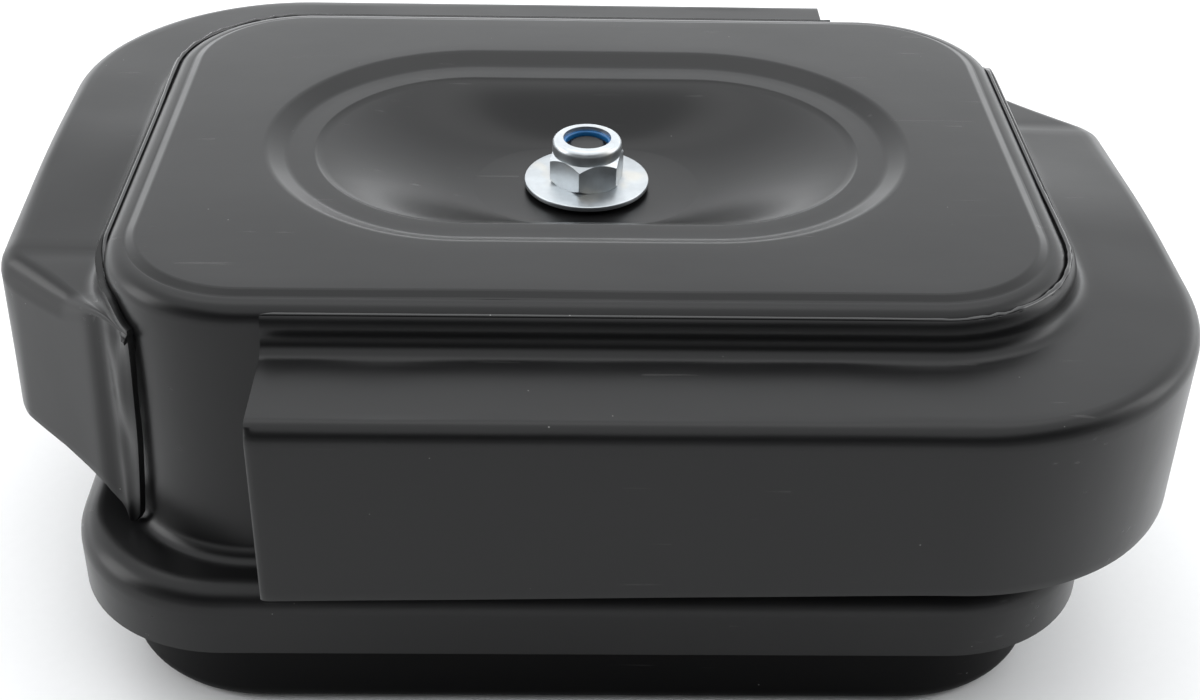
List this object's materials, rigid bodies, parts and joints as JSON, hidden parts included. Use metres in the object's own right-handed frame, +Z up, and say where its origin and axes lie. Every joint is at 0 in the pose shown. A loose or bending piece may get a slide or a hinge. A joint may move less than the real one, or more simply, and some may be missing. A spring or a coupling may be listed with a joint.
{
  "type": "air filter housing",
  "caption": "Pressed steel air filter housing with a dished cover, two air shrouds, a base pan, a pleated element with foam sleeve and a centre stud with lock nut.",
  "frame": {"origin": "on the clamping stud's axis, at the underside of the base pan", "axes": "+Z up along the stud, +X along the housing's length"},
  "size_m": [0.2142, 0.169, 0.0856],
  "materials": {
    "black_paint": "satin black paint",
    "pan_paint": "semi-matt black paint",
    "zinc_plate": "bright zinc plating",
    "stud_steel": "plain steel",
    "tinned_steel": "tinned sheet",
    "blue_nylon": "dull nylon",
    "rubber": "matt",
    "gasket_sheet": "fibre sheet",
    "filter_paper": "resin-treated paper",
    "foam": "open-cell foam"
  },
  "bodies": {
    "base": {"base_pan": "pan_paint", "outlet_collar": "pan_paint", "intake_gasket": "gasket_sheet", "mounting_plate": "pan_paint", "stud_bridge": "zinc_plate", "bridge_rivets": "zinc_plate", "centre_stud": "stud_steel", "stud_jam_nut": "zinc_plate", "rim_gasket": "rubber"},
    "filter_element": {"element_lower_seal": "rubber", "element_lower_plate": "tinned_steel", "paper_pleats": "filter_paper", "inner_core": "tinned_steel", "outer_mesh": "tinned_steel", "element_upper_plate": "tinned_steel", "element_upper_seal": "rubber"},
    "prefilter": {"foam_prefilter": "foam"},
    "cover": {"cover_shell": "black_paint", "shroud_front": "black_paint", "shroud_rear": "black_paint"},
    "washer_stack": {"seal_washer": "rubber", "large_washer": "zinc_plate"},
    "nut": {"lock_nut": "zinc_plate", "nut_insert": "blue_nylon"}
  },
  "joints": [
    {"name": "cover_lift", "type": "slide", "parent": "base", "child": "cover", "axis": [0, 0, 1], "range_m": [0, 0.2]},
    {"name": "element_lift", "type": "slide", "parent": "base", "child": "filter_element", "axis": [0, 0, 1], "range_m": [0, 0.08]},
    {"name": "prefilter_lift", "type": "slide", "parent": "filter_element", "child": "prefilter", "axis": [0, 0, 1], "range_m": [0, 0.07]},
    {"name": "lock_rise", "type": "slide", "parent": "cover", "child": "washer_stack", "axis": [0, 0, 1], "range_m": [0, 0.0075]},
    {"name": "nut_turn", "type": "hinge", "parent": "washer_stack", "child": "nut", "pos_m": [0, 0, 0.08], "axis": [0, 0, 1], "range_deg": [0, 2160]}
  ],
  "couplings": [
    {"joint": "element_lift", "follows": "cover_lift", "ratio": 0.4},
    {"joint": "prefilter_lift", "follows": "cover_lift", "ratio": 0.35},
    {"joint": "lock_rise", "follows": "nut_turn", "m_per_rad": 0.00019894}
  ]
}
